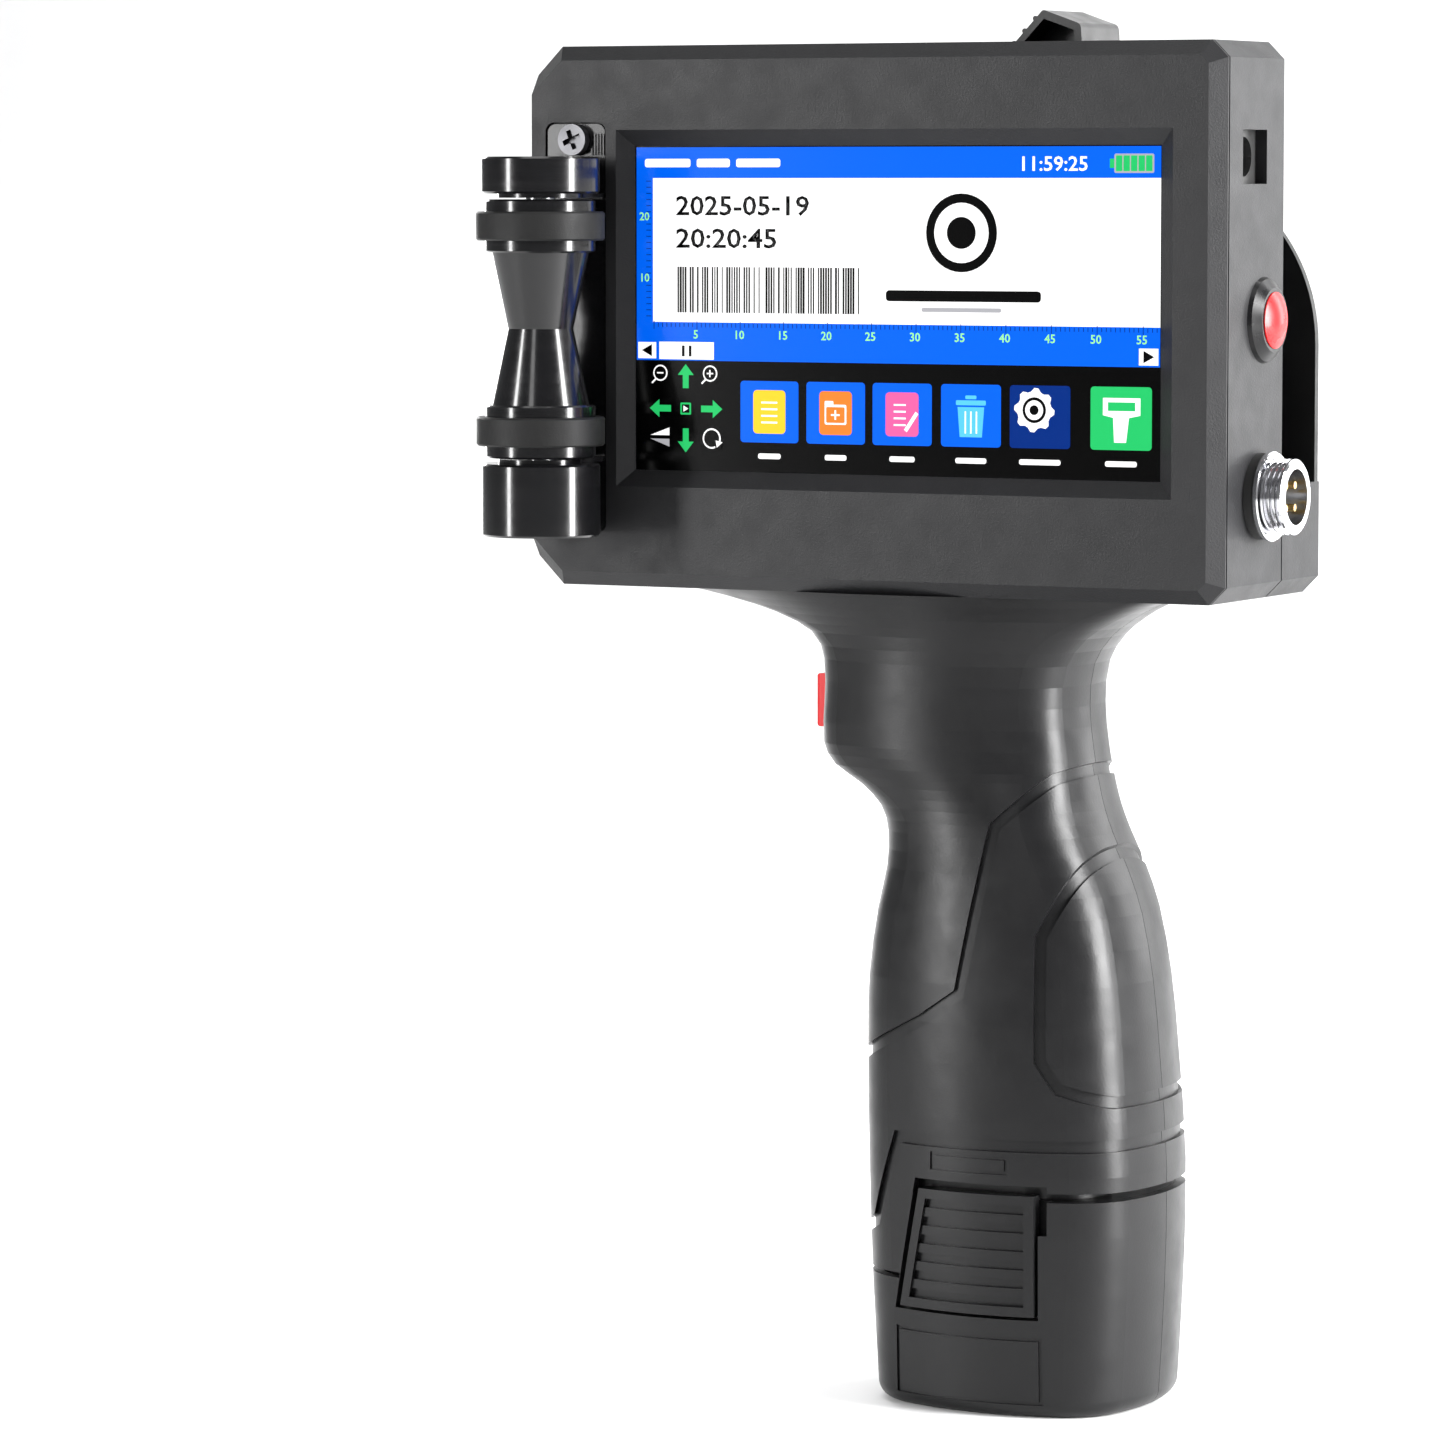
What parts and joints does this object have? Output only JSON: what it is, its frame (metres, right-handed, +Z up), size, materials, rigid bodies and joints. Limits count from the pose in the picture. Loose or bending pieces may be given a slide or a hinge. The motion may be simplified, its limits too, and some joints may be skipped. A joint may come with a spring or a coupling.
{
  "type": "handheld inkjet date coder",
  "caption": "Handheld date code inkjet printer: touch-screen head with a guide roller and a drop-in ink cartridge on a pistol grip with a slide-in battery.",
  "frame": {"origin": "centre of the battery's flat base, where the printer stands upright", "axes": "+Z up; X from the printing side (-X) to the connector side (+X); Y from the screen (-Y) to the cartridge bay (+Y)"},
  "size_m": [0.1347, 0.0659, 0.2305],
  "materials": {
    "shell_plastic": "fine texture",
    "grip_plastic": "satin",
    "cover_plastic": "satin",
    "glass": "clear",
    "display": "display panel",
    "board": "circuit board",
    "chip": "moulded",
    "steel": "satin",
    "bright_metal": "polished",
    "black_metal": "gloss black",
    "black_screw": "black oxide",
    "contact_metal": "gold plated",
    "rubber": "matt",
    "red_plastic": "gloss",
    "ring_plastic": "gloss",
    "bush_plastic": "natural",
    "ink_plastic": "satin",
    "foam": "open cell",
    "cell_wrap": "shrink wrap"
  },
  "bodies": {
    "housing": {"front_bezel": "shell_plastic", "front_housing": "shell_plastic", "rear_housing": "shell_plastic", "bay_back_cover": "cover_plastic", "housing_screws": "black_screw", "cover_screws": "black_screw", "touch_glass": "glass", "lcd_module": "display", "main_board": "board", "board_chips": "chip", "dc_jack": "chip", "dc_jack_pin": "bright_metal", "button_ring": "ring_plastic", "side_button_spring": "steel", "button_nut": "steel", "connector_nut": "steel", "connector_gasket": "rubber", "connector_shell": "bright_metal", "connector_insert": "chip", "connector_pins": "contact_metal", "roller_bracket": "black_metal", "bracket_screw": "black_screw", "roller_axle": "steel", "roller_lower_cap": "black_metal", "roller_upper_cap": "black_metal", "contact_block": "chip", "contact_pins": "contact_metal", "grip_front_shell": "grip_plastic", "grip_rear_shell": "grip_plastic", "grip_screws": "black_screw", "neck_screws": "black_screw", "trigger_spring": "steel", "trigger_switch": "chip", "grip_terminals": "chip"},
    "roller": {"roller_body": "black_metal", "roller_tyre_lower": "rubber", "roller_tyre_upper": "rubber", "roller_bushes": "bush_plastic"},
    "cartridge": {"cartridge_shell": "ink_plastic", "cartridge_lid": "ink_plastic", "ink_foam": "foam", "cartridge_handle": "ink_plastic", "nozzle_plate": "steel", "cartridge_contacts": "contact_metal"},
    "trigger": {"trigger_button": "red_plastic"},
    "side_button": {"side_button_cap": "red_plastic"},
    "battery": {"battery_front_case": "grip_plastic", "battery_rear_case": "grip_plastic", "battery_tower": "grip_plastic", "battery_cells": "cell_wrap", "battery_board": "board", "battery_terminals": "contact_metal", "latch_spring_front": "steel", "latch_spring_rear": "steel"},
    "latch_front": {"battery_latch_front": "grip_plastic"},
    "latch_rear": {"battery_latch_rear": "grip_plastic"}
  },
  "joints": [
    {"name": "roller_spin", "type": "hinge", "parent": "housing", "child": "roller", "pos_m": [-0.0749, -0.0325, 0.1779], "axis": [0, 0, 1], "continuous": true},
    {"name": "trigger_press", "type": "slide", "parent": "housing", "child": "trigger", "axis": [1, 0, 0], "range_m": [0, 0.002], "stiffness_N_per_m": 600, "springref_m": -0.002, "deforming": ["trigger_spring"]},
    {"name": "side_button_press", "type": "slide", "parent": "housing", "child": "side_button", "axis": [-1, 0, 0], "range_m": [0, 0.0012], "stiffness_N_per_m": 800, "springref_m": -0.001, "deforming": ["side_button_spring"]},
    {"name": "cartridge_lift", "type": "slide", "parent": "housing", "child": "cartridge", "axis": [0, 0, 1], "range_m": [0, 0.072]},
    {"name": "battery_release", "type": "slide", "parent": "housing", "child": "battery", "axis": [0, 0, -1], "range_m": [0, 0.08]},
    {"name": "latch_front_press", "type": "slide", "parent": "battery", "child": "latch_front", "axis": [0, 1, 0], "range_m": [0, 0.0008], "stiffness_N_per_m": 1500, "springref_m": -0.0004, "deforming": ["latch_spring_front"]},
    {"name": "latch_rear_press", "type": "slide", "parent": "battery", "child": "latch_rear", "axis": [0, -1, 0], "range_m": [0, 0.0008], "stiffness_N_per_m": 1500, "springref_m": -0.0004, "deforming": ["latch_spring_rear"]}
  ]
}
